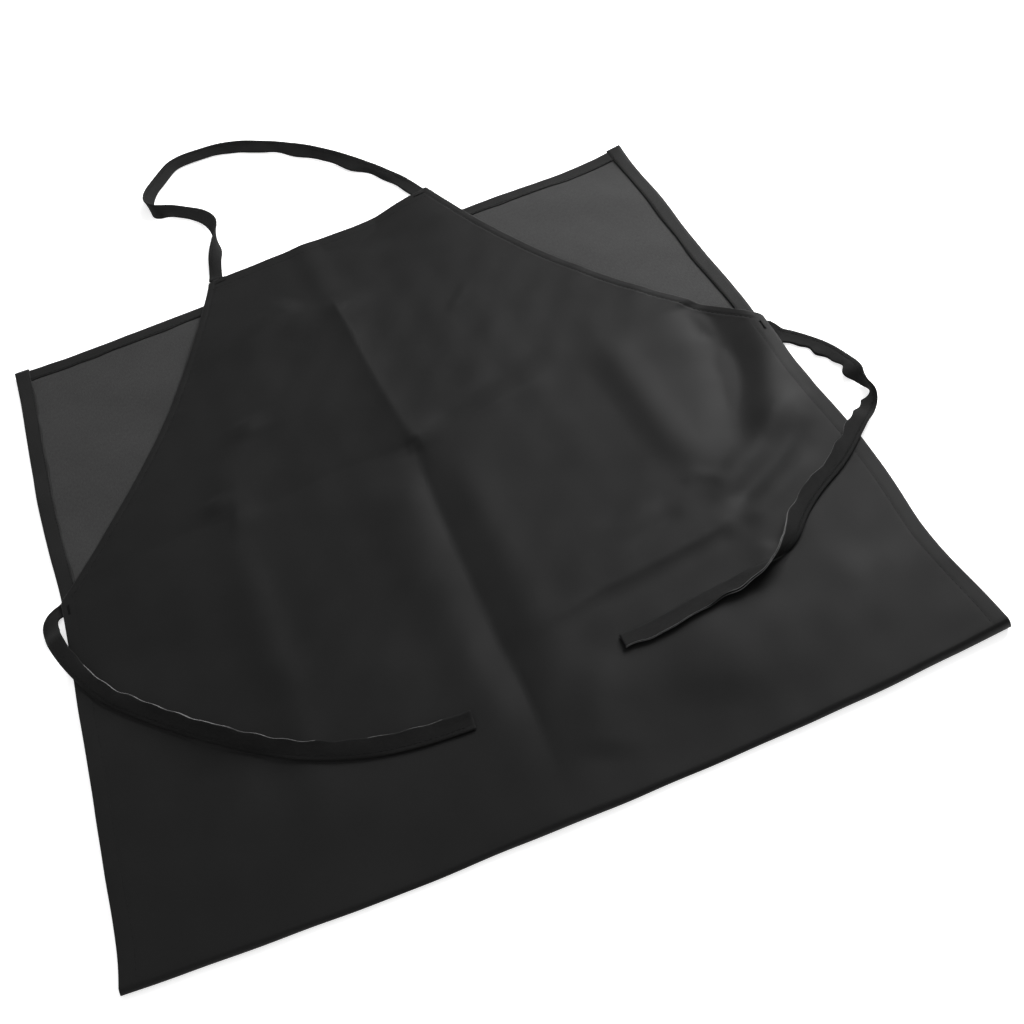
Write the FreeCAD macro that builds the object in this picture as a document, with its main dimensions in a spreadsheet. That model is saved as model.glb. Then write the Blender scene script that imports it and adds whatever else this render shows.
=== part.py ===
import FreeCAD, Part
import math
import os

import Sketcher

"""Bib apron of one layer of cloth, lying with the lower skirt folded under the front.

Row frame, in millimetres: +X across the apron, +Y from the fold towards the bib, +Z up from the
surface it lies on.  The origin is the middle of the sewn apron's footprint, straps left out.
"""

# Driving sizes: alias, value, meaning.
SIZES = [
    ("apron_width", 540, "finished width of the skirt, edge to edge"),
    ("front_length", 600, "fold line to the top edge of the bib"),
    ("waist_length", 303, "fold line to the waist corners"),
    ("flap_length", 568, "fold line to the bottom hem, folded under"),
    ("bib_width", 206, "top edge of the bib"),
    ("armhole_sag", 17, "how far the armhole edge curves in from its chord"),
    ("cloth_thickness", 0.5, "one layer of cloth"),
    ("hem_thickness", 1.0, "two more layers, turned over and sewn"),
    ("side_hem_width", 12, "turned hem down each side of the skirt"),
    ("bottom_hem_width", 13, "turned hem along the bottom"),
    ("bib_hem_width", 13, "turned hem along the top of the bib"),
    ("armhole_hem_width", 8, "narrow hem round each armhole"),
    ("seam_inset", 2, "seam line in from the inner edge of its hem"),
    ("thread_width", 0.6, "sewing thread across the seam"),
    ("thread_height", 0.2, "sewing thread standing on the cloth"),
    ("strap_width", 12, "neck strap and waist ties, flat"),
    ("strap_thickness", 1.2, "a strip of the cloth, folded and sewn flat"),
    ("strap_lap", 26, "strap end sewn under the cloth"),
    ("neck_stub", 12.5, "neck strap from the bib's edge to where it bends"),
    ("neck_inset", 10, "middle of the neck strap in from the bib's corner"),
    ("tie_stub", 8.5, "waist tie straight out of the side edge"),
    ("tie_drop", 10, "middle of the waist tie below the waist corner"),
    ("bartack_inset", 6, "close zigzag stitching in from the cloth's edge"),
    ("bartack_length", 10, "along the strap's width"),
    ("bartack_width", 1.8, "across the zigzag"),
    ("lay_gap", 0.8, "air between the folded layers"),
]

# Routes of the three soft straps, chosen by hand: corner points of the middle line.
NECK_ROUTE = [
    (-93, 307.8, 6.0), (-93, 329, 6.0), (-84, 354, 6.2), (-81, 382, 6.0), (-93, 405, 6.3),
    (-115, 419, 6.6), (-133, 437, 6.2), (-128, 465, 6.0), (-108, 488, 6.4), (-78, 496, 6.8),
    (-44, 486, 6.4), (-12, 467, 6.0), (16, 440, 6.2), (43, 407, 6.6), (69, 373, 6.2),
    (87, 348, 6.0), (93, 326, 6.0), (93, 307.8, 6.0),
]
LEFT_TIE_ROUTE = [
    (-278.5, -12, 6.0), (-295, -12, 6.0), (-304, -29, 6.6), (-301, -56, 8.6), (-289, -79, 11.4),
    (-269, -98, 12.6), (-246, -115, 12.4), (-222, -136, 12.0), (-200, -160, 12.2),
    (-175, -183, 12.6), (-147, -201, 12.2), (-114, -215, 11.8), (-79, -225, 12.2),
    (-44, -230, 11.9),
]
RIGHT_TIE_ROUTE = [
    (278.5, -12, 6.0), (295, -12, 6.0), (305, -29, 6.6), (307, -55, 7.8), (304, -81, 9.6),
    (295, -105, 11.6), (278, -125, 12.8), (255, -142, 12.4), (230, -157, 12.2),
    (206, -174, 12.6), (184, -194, 12.2), (157, -209, 11.8), (126, -217, 12.2),
    (94, -219, 12.4), (62, -216, 11.9),
]

TANGENT_SHARE = 0.45  # share of the shorter run that each arc's tangent takes
VOLUME_TOLERANCE = 0.01
SIDES = (("left", -1), ("right", 1))

doc = FreeCAD.newDocument("BibApron")
sheet = doc.addObject("Spreadsheet::Sheet", "Sizes")
nodes = []


def fill_sheet():
    for row, (alias, value, meaning) in enumerate(SIZES, start=1):
        sheet.set(f"A{row}", alias)
        sheet.set(f"B{row}", str(value))
        sheet.set(f"C{row}", meaning)
        sheet.setAlias(f"B{row}", alias)
    doc.recompute()


def number(expression):
    """The value of a sheet expression, as a plain number."""
    return float(sheet.evalExpression(expression))


# Places shared by the pieces, as expressions of the sheet's cells.
HALF = "(<<Sizes>>.apron_width / 2)"
BIB_HALF = "(<<Sizes>>.bib_width / 2)"
CLOTH = "<<Sizes>>.cloth_thickness"
HEM = "<<Sizes>>.hem_thickness"
STRAP = "<<Sizes>>.strap_thickness"
WIDE = "<<Sizes>>.strap_width"
LAP = "<<Sizes>>.strap_lap"
THREAD = "<<Sizes>>.thread_width"
THREAD_HIGH = "<<Sizes>>.thread_height"
SIDE_HEM = "<<Sizes>>.side_hem_width"
BOTTOM_HEM = "<<Sizes>>.bottom_hem_width"
BIB_HEM = "<<Sizes>>.bib_hem_width"
ARM_HEM = "<<Sizes>>.armhole_hem_width"
INSET = "<<Sizes>>.seam_inset"

# Heights, from the table up: flap, its hem, air, strap end, front hem, front cloth.
FLAP_HEM_Z = CLOTH
FLAP_TOP = f"({CLOTH} + {HEM})"
STRAP_Z = f"({FLAP_TOP} + <<Sizes>>.lay_gap)"
FRONT_HEM_Z = f"({STRAP_Z} + {STRAP})"
FRONT_Z = f"({FRONT_HEM_Z} + {HEM})"
STACK = f"({FRONT_Z} + {CLOTH})"
BEND = f"({STACK} / 2)"

# Places along Y, with the footprint centred on the origin.
FOLD_Y = f"(({BEND} - <<Sizes>>.front_length - <<Sizes>>.neck_stub) / 2)"
WAIST_Y = f"({FOLD_Y} + <<Sizes>>.waist_length)"
BIB_TOP_Y = f"({FOLD_Y} + <<Sizes>>.front_length)"
FLAP_END_Y = f"({FOLD_Y} + <<Sizes>>.flap_length)"
TIE_Y = f"({WAIST_Y} - <<Sizes>>.tie_drop)"
NECK_X = f"({BIB_HALF} - <<Sizes>>.neck_inset)"

# The armhole edge: one arc from the waist corner to the bib corner, hollow side outwards.
ARM_DX = f"({HALF} - {BIB_HALF})"
ARM_DY = f"({BIB_TOP_Y} - {WAIST_Y})"
ARM_CHORD = f"sqrt({ARM_DX} ^ 2 + {ARM_DY} ^ 2)"
ARM_SAG = "<<Sizes>>.armhole_sag"
ARM_R = f"(({ARM_CHORD} ^ 2 / 4 + {ARM_SAG} ^ 2) / (2 * {ARM_SAG}))"
ARM_BACK = f"(({ARM_R} - {ARM_SAG}) / {ARM_CHORD})"
ARM_CX = f"(({HALF} + {BIB_HALF}) / 2 + {ARM_DY} * {ARM_BACK})"
ARM_CY = f"(({BIB_TOP_Y} + {WAIST_Y}) / 2 + {ARM_DX} * {ARM_BACK})"


def armhole_x(y, inset="0"):
    """Expression for the armhole edge's x at a height y, or of a line inset from that edge."""
    return f"({ARM_CX} - sqrt(({ARM_R} + {inset}) ^ 2 - ({y} - {ARM_CY}) ^ 2))"


def keep(item, node):
    item.Label = node
    nodes.append(item)
    return item


def slab(node, x, y, z, length, width, height):
    """A flat rectangular piece with its lowest corner at x, y, z."""
    box = doc.addObject("Part::Box", node)
    bound = {
        "Length": length, "Width": width, "Height": height,
        "Placement.Base.x": x, "Placement.Base.y": y, "Placement.Base.z": z,
    }
    for name, expression in bound.items():
        box.setExpression(name, expression)
    return keep(box, node)


def signed_low(side, outer, width):
    """Lowest x of a strip whose outer edge is at side * outer."""
    return f"({outer} - {width})" if side > 0 else f"(0 - {outer})"


def plane_of(body, role):
    return next(f for f in body.Origin.OriginFeatures if f.Role == role)


def arc_between(start, end, radius, centre):
    """The short arc about centre from start to end, and whether it runs against the clock."""
    first = math.atan2(start.y - centre.y, start.x - centre.x)
    last = math.atan2(end.y - centre.y, end.x - centre.x)
    forward = math.sin(last - first) > 0
    if not forward:
        first, last = last, first
    circle = Part.Circle(centre, FreeCAD.Vector(0, 0, 1), radius)
    return Part.ArcOfCircle(circle, first, last), forward


def cut_cloth(node, corners, arcs, z, height):
    """A flat piece padded from a sketch.

    corners holds (x, y) expressions in order round the outline; arcs maps the index of an edge
    to (radius, centre x, centre y) expressions, and every other edge is straight.
    """
    body = doc.addObject("PartDesign::Body", node)
    sketch = body.newObject("Sketcher::SketchObject", f"{node}_outline")
    sketch.AttachmentSupport = [(plane_of(body, "XY_Plane"), "")]
    sketch.MapMode = "FlatFace"
    places = [FreeCAD.Vector(number(x), number(y), 0) for x, y in corners]
    ends = []
    for index, start in enumerate(places):
        end = places[(index + 1) % len(places)]
        if index in arcs:
            radius, centre_x, centre_y = arcs[index]
            centre = FreeCAD.Vector(number(centre_x), number(centre_y), 0)
            curve, forward = arc_between(start, end, number(radius), centre)
            geometry = sketch.addGeometry(curve, False)
            ends.append(((geometry, 1), (geometry, 2)) if forward else ((geometry, 2), (geometry, 1)))
        else:
            geometry = sketch.addGeometry(Part.LineSegment(start, end), False)
            ends.append(((geometry, 1), (geometry, 2)))
    for index, (_, tail) in enumerate(ends):
        head = ends[(index + 1) % len(ends)][0]
        sketch.addConstraint(Sketcher.Constraint("Coincident", *tail, *head))
    for index, ((head, _), (x, y)) in enumerate(zip(ends, corners)):
        for axis, expression in (("X", x), ("Y", y)):
            value = number(expression)
            held = Sketcher.Constraint(f"Distance{axis}", -1, 1, *head, value)
            place = sketch.addConstraint(held)
            sketch.renameConstraint(place, f"corner_{axis.lower()}_{index}")
            sketch.setExpression(f"Constraints.corner_{axis.lower()}_{index}", expression)
    for index, (radius, _, _) in arcs.items():
        held = Sketcher.Constraint("Radius", ends[index][0][0], number(radius))
        place = sketch.addConstraint(held)
        sketch.renameConstraint(place, f"radius_{index}")
        sketch.setExpression(f"Constraints.radius_{index}", radius)
    sketch.setExpression("AttachmentOffset.Base.z", z)
    pad = body.newObject("PartDesign::Pad", f"{node}_pad")
    pad.Profile = sketch
    pad.setExpression("Length", height)
    sketch.Visibility = False
    return keep(body, node)


def mirrored(side, x):
    return x if side > 0 else f"(0 - {x})"


def armhole_band(node, side, inner, outer, z, height):
    """A strip that follows the armhole edge, from inset outer to inset inner."""
    low = WAIST_Y
    high = f"({BIB_TOP_Y} - {BIB_HEM})"
    outer_r = f"({ARM_R} + {outer})"
    inner_r = f"({ARM_R} + {inner})"
    centre_x = mirrored(side, ARM_CX)
    corners = [
        (mirrored(side, armhole_x(low, outer)), low),
        (mirrored(side, armhole_x(high, outer)), high),
        (mirrored(side, armhole_x(high, inner)), high),
        (mirrored(side, armhole_x(low, inner)), low),
    ]
    arcs = {0: (outer_r, centre_x, ARM_CY), 2: (inner_r, centre_x, ARM_CY)}
    return cut_cloth(node, corners, arcs, z, height)


def make_flap():
    """The lower skirt, folded under and so wrong side up: its hems show on top."""
    width = "<<Sizes>>.apron_width"
    length = "<<Sizes>>.flap_length"
    slab("skirt_flap", f"(0 - {HALF})", FOLD_Y, "0", width, length, CLOTH)
    for name, side in SIDES:
        hem_x = signed_low(side, HALF, SIDE_HEM)
        slab(f"flap_{name}_hem", hem_x, FOLD_Y, FLAP_HEM_Z, SIDE_HEM, length, HEM)
        seam = f"({HALF} - {SIDE_HEM} + {INSET})"
        seam_x = signed_low(side, seam, THREAD)
        seam_length = f"({length} - {BOTTOM_HEM})"
        slab(f"flap_{name}_seam", seam_x, FOLD_Y, FLAP_TOP, THREAD, seam_length, THREAD_HIGH)
    inner = f"({HALF} - {SIDE_HEM})"
    hem_y = f"({FLAP_END_Y} - {BOTTOM_HEM})"
    slab("bottom_hem", f"(0 - {inner})", hem_y, FLAP_HEM_Z, f"(2 * {inner})", BOTTOM_HEM, HEM)
    seam_y = f"({hem_y} + {INSET})"
    slab("bottom_seam", f"(0 - {inner})", seam_y, FLAP_TOP, f"(2 * {inner})", THREAD, THREAD_HIGH)


def make_fold():
    """The round bend that joins the flap to the front."""
    halves = []
    for name, radius in (("outside", BEND), ("inside", f"({BEND} - {CLOTH})")):
        half = doc.addObject("Part::Cylinder", f"fold_{name}")
        half.Angle = 180
        across = FreeCAD.Rotation(
            FreeCAD.Vector(0, 0, 1), FreeCAD.Vector(0, -1, 0), FreeCAD.Vector(1, 0, 0)
        )
        half.Placement = FreeCAD.Placement(FreeCAD.Vector(), across)
        half.setExpression("Radius", radius)
        half.setExpression("Height", "<<Sizes>>.apron_width")
        half.setExpression("Placement.Base.x", f"0 - {HALF}")
        half.setExpression("Placement.Base.y", FOLD_Y)
        half.setExpression("Placement.Base.z", BEND)
        halves.append(half)
    bend = doc.addObject("Part::Cut", "skirt_fold")
    bend.Base, bend.Tool = halves
    keep(bend, "skirt_fold")


def make_front():
    """The upper skirt and bib, right side up: its hems are turned under."""
    left_half = f"(0 - {HALF})"
    left_bib = f"(0 - {BIB_HALF})"
    corners = [
        (left_half, FOLD_Y), (HALF, FOLD_Y), (HALF, WAIST_Y),
        (BIB_HALF, BIB_TOP_Y), (left_bib, BIB_TOP_Y), (left_half, WAIST_Y),
    ]
    arcs = {2: (ARM_R, ARM_CX, ARM_CY), 4: (ARM_R, f"(0 - {ARM_CX})", ARM_CY)}
    cut_cloth("front_panel", corners, arcs, FRONT_Z, CLOTH)
    length = "<<Sizes>>.waist_length"
    for name, side in SIDES:
        hem_x = signed_low(side, HALF, SIDE_HEM)
        slab(f"front_{name}_hem", hem_x, FOLD_Y, FRONT_HEM_Z, SIDE_HEM, length, HEM)
        seam_x = signed_low(side, f"({HALF} - {SIDE_HEM} + {INSET})", THREAD)
        slab(f"front_{name}_seam", seam_x, FOLD_Y, STACK, THREAD, length, THREAD_HIGH)
        armhole_band(f"{name}_armhole_hem", side, ARM_HEM, "0", FRONT_HEM_Z, HEM)
        seam = f"({ARM_HEM} - {INSET})"
        armhole_band(f"{name}_armhole_seam", side, f"({seam} + {THREAD})", seam, STACK, THREAD_HIGH)
    low = f"({BIB_TOP_Y} - {BIB_HEM})"
    low_x = armhole_x(low)
    corners = [
        (f"(0 - {low_x})", low), (low_x, low), (BIB_HALF, BIB_TOP_Y), (left_bib, BIB_TOP_Y),
    ]
    cut_cloth("bib_hem", corners, {}, FRONT_HEM_Z, HEM)
    seam_y = f"({low} + {INSET})"
    slab("bib_seam", left_bib, seam_y, STACK, "<<Sizes>>.bib_width", THREAD, THREAD_HIGH)


def make_strap_ends():
    """The sewn ends of the straps, under the hems, and the close stitching that holds each."""
    across = f"{WIDE} / 2"
    tack = "<<Sizes>>.bartack_length"
    tack_wide = "<<Sizes>>.bartack_width"
    tack_inset = "<<Sizes>>.bartack_inset"
    for name, side in SIDES:
        neck_x = mirrored(side, NECK_X)
        neck_length = f"({LAP} + <<Sizes>>.neck_stub)"
        slab(f"neck_{name}_end", f"({neck_x} - {across})", f"({BIB_TOP_Y} - {LAP})", STRAP_Z,
             WIDE, neck_length, STRAP)
        slab(f"neck_{name}_bartack", f"({neck_x} - {tack} / 2)",
             f"({BIB_TOP_Y} - {tack_inset})", STACK, tack, tack_wide, THREAD_HIGH)
        tie_length = f"({LAP} + <<Sizes>>.tie_stub)"
        tie_x = signed_low(side, f"({HALF} + <<Sizes>>.tie_stub)", tie_length)
        slab(f"{name}_tie_end", tie_x, f"({TIE_Y} - {across})", STRAP_Z, tie_length, WIDE, STRAP)
        tack_x = signed_low(side, f"({HALF} - {tack_inset} + {tack_wide})", tack_wide)
        slab(f"{name}_tie_bartack", tack_x, f"({TIE_Y} - {tack} / 2)", STACK,
             tack_wide, tack, THREAD_HIGH)


def route_wire(node, route):
    """Straight runs joined by tangent arcs, with the radius of each arc printed."""
    points = [FreeCAD.Vector(*p) for p in route]
    edges = []
    radii = []
    last = points[0]
    for before, corner, after in zip(points, points[1:], points[2:]):
        into = (corner - before).normalize()
        out = (after - corner).normalize()
        half_turn = into.getAngle(out) / 2
        tangent = TANGENT_SHARE * min((corner - before).Length, (after - corner).Length)
        radii.append(tangent / math.tan(half_turn))
        start = corner - into * tangent
        end = corner + out * tangent
        inward = (out - into).normalize()
        rise = radii[-1] * (1 / math.cos(half_turn) - 1)
        edges.append(Part.LineSegment(last, start).toShape())
        edges.append(Part.Arc(start, corner + inward * rise, end).toShape())
        last = end
    edges.append(Part.LineSegment(last, points[-1]).toShape())
    wire = Part.Wire(edges)
    print(f"{node}: {wire.Length:.1f} mm, radii " + ", ".join(f"{r:.0f}" for r in radii))
    return wire


def make_strap(node, route):
    """A plain round tube as wide as the strap, along its route."""
    wire = route_wire(node, route)
    radius = number(f"{WIDE} / 2")
    start = FreeCAD.Vector(*route[0])
    along = FreeCAD.Vector(*route[1]) - start
    ring = Part.Wire([Part.Circle(start, along, radius).toShape()])
    tube = wire.makePipeShell([ring], True, False)
    expected = math.pi * radius ** 2 * wire.Length
    if abs(tube.Volume / expected - 1) > VOLUME_TOLERANCE:
        raise ValueError(f"{node}: volume {tube.Volume:.0f}, expected {expected:.0f}")
    strap = doc.addObject("Part::Feature", node)
    strap.Shape = tube
    keep(strap, node)


def check_document():
    for item in doc.Objects:
        if "Invalid" in item.State or "Error" in item.State:
            raise ValueError(f"{item.Label} did not compute: {item.State}")
    for item in nodes:
        if item.Shape.isNull() or not item.Shape.isValid() or not item.Shape.Solids:
            raise ValueError(f"{item.Label} has no valid solid")


def write_steps():
    os.makedirs("parts", exist_ok=True)
    for item in nodes:
        item.Shape.exportStep(f"parts/{item.Label}.step")


fill_sheet()
make_flap()
make_fold()
make_front()
make_strap_ends()
make_strap("neck_strap", NECK_ROUTE)
make_strap("left_tie", LEFT_TIE_ROUTE)
make_strap("right_tie", RIGHT_TIE_ROUTE)
doc.recompute()
check_document()
write_steps()
print(f"{len(nodes)} nodes, fold line at y {number(FOLD_Y):.2f}, bend centre z {number(BEND):.2f}")
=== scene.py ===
import math

import bpy
import numpy as np
from mathutils import Matrix, Vector


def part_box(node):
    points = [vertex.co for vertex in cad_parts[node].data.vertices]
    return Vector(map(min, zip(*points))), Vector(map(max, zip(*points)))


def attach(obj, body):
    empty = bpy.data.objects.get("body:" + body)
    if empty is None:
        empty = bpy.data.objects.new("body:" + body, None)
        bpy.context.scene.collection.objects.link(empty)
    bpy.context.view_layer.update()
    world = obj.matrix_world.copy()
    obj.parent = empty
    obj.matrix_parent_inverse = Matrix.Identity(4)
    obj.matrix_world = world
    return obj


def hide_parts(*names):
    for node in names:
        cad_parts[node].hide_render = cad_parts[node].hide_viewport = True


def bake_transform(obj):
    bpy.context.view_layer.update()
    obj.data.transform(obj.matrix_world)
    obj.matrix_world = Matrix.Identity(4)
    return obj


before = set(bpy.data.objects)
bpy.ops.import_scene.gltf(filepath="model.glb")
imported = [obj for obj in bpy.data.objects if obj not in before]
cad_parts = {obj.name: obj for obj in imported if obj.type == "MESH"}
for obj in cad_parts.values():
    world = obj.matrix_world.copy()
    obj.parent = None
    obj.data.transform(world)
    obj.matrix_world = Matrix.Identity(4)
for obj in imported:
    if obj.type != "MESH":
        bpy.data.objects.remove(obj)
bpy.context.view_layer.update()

# The shapes are worked out in millimetres in the row frame, and turned into metres as meshes.
MM = 0.001


def node_box(node):
    """A CAD node's lowest and highest corners, in millimetres."""
    low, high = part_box(node)
    return np.array(low) / MM, np.array(high) / MM


PANEL_LOW, PANEL_HIGH = node_box("front_panel")
FLAP_HIGH = node_box("skirt_flap")[1]
HALF = PANEL_HIGH[0]
FOLD = PANEL_LOW[1]
FRONT_LENGTH = PANEL_HIGH[1] - FOLD
FLAP_LENGTH = FLAP_HIGH[1] - FOLD
WAIST = node_box("front_left_hem")[1][1] - FOLD
BIB_HALF = node_box("bib_seam")[1][0]
SIDE_HEM = HALF - node_box("front_right_hem")[0][0]
BIB_HEM = FRONT_LENGTH - (node_box("bib_hem")[0][1] - FOLD)
BOTTOM_HEM = FLAP_LENGTH - (node_box("bottom_hem")[0][1] - FOLD)
STRAP_WIDE = float(np.ptp(node_box("neck_left_end"), axis=0)[0])
STRAP_THICK = float(np.ptp(node_box("neck_left_end"), axis=0)[2])
TIE_Y = float(np.mean(node_box("left_tie_end"), axis=0)[1]) - FOLD
NECK_X = float(np.mean(node_box("neck_right_end"), axis=0)[0])
ARM_HEM = 8.0                   # width of the armhole's hem
ARM_SAG = 17.0                  # how far the armhole's edge curves in from a straight line
CLOTH = 0.5                     # thickness of the cloth
SEAM_IN = 2.0                   # a hem's stitches lie this far from its inner edge

# Heights of the cloth that shows: flap, front, and the soft roll between them.
FLAP_Z = 1.0
FRONT_Z = 5.2
ROLL_Z = 5.7
ROLL_OUT = 3.4                  # how far the roll stands out beyond the fold
BOW = 9.0                       # how far the fold's middle lies out beyond its ends
FRONT_LOWEST = 4.1              # the front clears the flap and its hems by staying above this
SINK = 0.8                      # away from its hems it may lie this much lower
FOLD_BLEND = (1.3, 2.6)         # two heights in the roll between flap and front; make_front reads them but uses them for nothing

# Rises and dips: height, then place and reach where they have one.
AIR_BY_FOLD, AIR_AT, AIR_REACH = 2.0, 58, 32
RIGHT_RISE, RIGHT_REACH = 2.2, 50
CORNER_RISE, CORNER_REACH = 2.8, 70
BIB_DROP = 1.0

rng = np.random.default_rng(7)


# ---- helpers
def ease(t):
    """A smooth step from 0 to 1 as t goes from 0 to 1."""
    t = np.clip(t, 0, 1)
    return t * t * (3 - 2 * t)


def along(x, y, path):
    """Signed distance to a line of points, left of travel positive, and the share of its length."""
    path = np.asarray(path, float)
    steps = np.linalg.norm(np.diff(path, axis=0), axis=1)
    starts = np.concatenate([[0], np.cumsum(steps)[:-1]])
    best = np.full(np.shape(x), np.inf)
    share = np.zeros(np.shape(x))
    side = np.ones(np.shape(x))
    for point, step, length, start in zip(path, np.diff(path, axis=0), steps, starts):
        ax, ay = x - point[0], y - point[1]
        t = np.clip((ax * step[0] + ay * step[1]) / length ** 2, 0, 1)
        distance = np.hypot(ax - t * step[0], ay - t * step[1])
        nearer = distance < best
        best = np.where(nearer, distance, best)
        share = np.where(nearer, (start + t * length) / steps.sum(), share)
        side = np.where(nearer, np.sign(step[0] * ay - step[1] * ax), side)
    return best * side, share


def crease(x, y, path, height, left, right, fade=(0.1, 0.1), sharp=True):
    """Height of a crease (sharp) or a soft fold along a line, with its width on each side."""
    distance, share = along(x, y, path)
    reach = np.abs(distance) / np.where(distance > 0, left, right)
    profile = np.exp(-reach) if sharp else np.exp(-reach ** 2)
    return height * profile * ease(share / fade[0]) * ease((1 - share) / fade[1])


def mound(x, d, height, at, reach):
    """A smooth rise, or a dip where height is negative, centred on a point."""
    return height * np.exp(-((x - at[0]) / reach[0]) ** 2 - ((d - at[1]) / reach[1]) ** 2)


def corner_rise(x, d, corner, height, reach):
    """A rise that is highest at a corner."""
    return height * np.exp(-np.hypot(x - corner[0], d - corner[1]) / reach)


def fading(distance, reach):
    """1 at an edge, falling off inwards."""
    return np.exp(-np.clip(distance, 0, None) / reach)


def swell(x, y, seed, waves, short, long, height):
    """Low uneven waves: a seeded sum of sines with wavelengths from short to long."""
    draw = np.random.default_rng(seed)
    total = np.zeros(np.shape(x))
    for _ in range(waves):
        turn, phase = draw.uniform(0, 2 * math.pi, 2)
        wavelength = draw.uniform(short, long)
        k = 2 * math.pi / wavelength
        total = total + np.sin(k * (x * math.cos(turn) + y * math.sin(turn)) + phase)
    return height * total / math.sqrt(waves)


# ---- outline of the front
ARM_CHORD = math.hypot(HALF - BIB_HALF, FRONT_LENGTH - WAIST)
ARM_R = (ARM_CHORD ** 2 / 4 + ARM_SAG ** 2) / (2 * ARM_SAG)
ARM_BACK = (ARM_R - ARM_SAG) / ARM_CHORD
ARM_CX = (HALF + BIB_HALF) / 2 + (FRONT_LENGTH - WAIST) * ARM_BACK
ARM_CY = (FRONT_LENGTH + WAIST) / 2 + (HALF - BIB_HALF) * ARM_BACK


def half_width(d):
    """Half width of the front at a distance d from the fold."""
    d = np.asarray(d, float)
    arm = ARM_CX - np.sqrt(ARM_R ** 2 - (np.clip(d, WAIST, FRONT_LENGTH) - ARM_CY) ** 2)
    return np.where(d > WAIST, arm, HALF)


def armhole_inset(x, d):
    """How far a point is inside the armhole's edge."""
    return np.hypot(ARM_CX - np.abs(x), ARM_CY - d) - ARM_R


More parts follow.
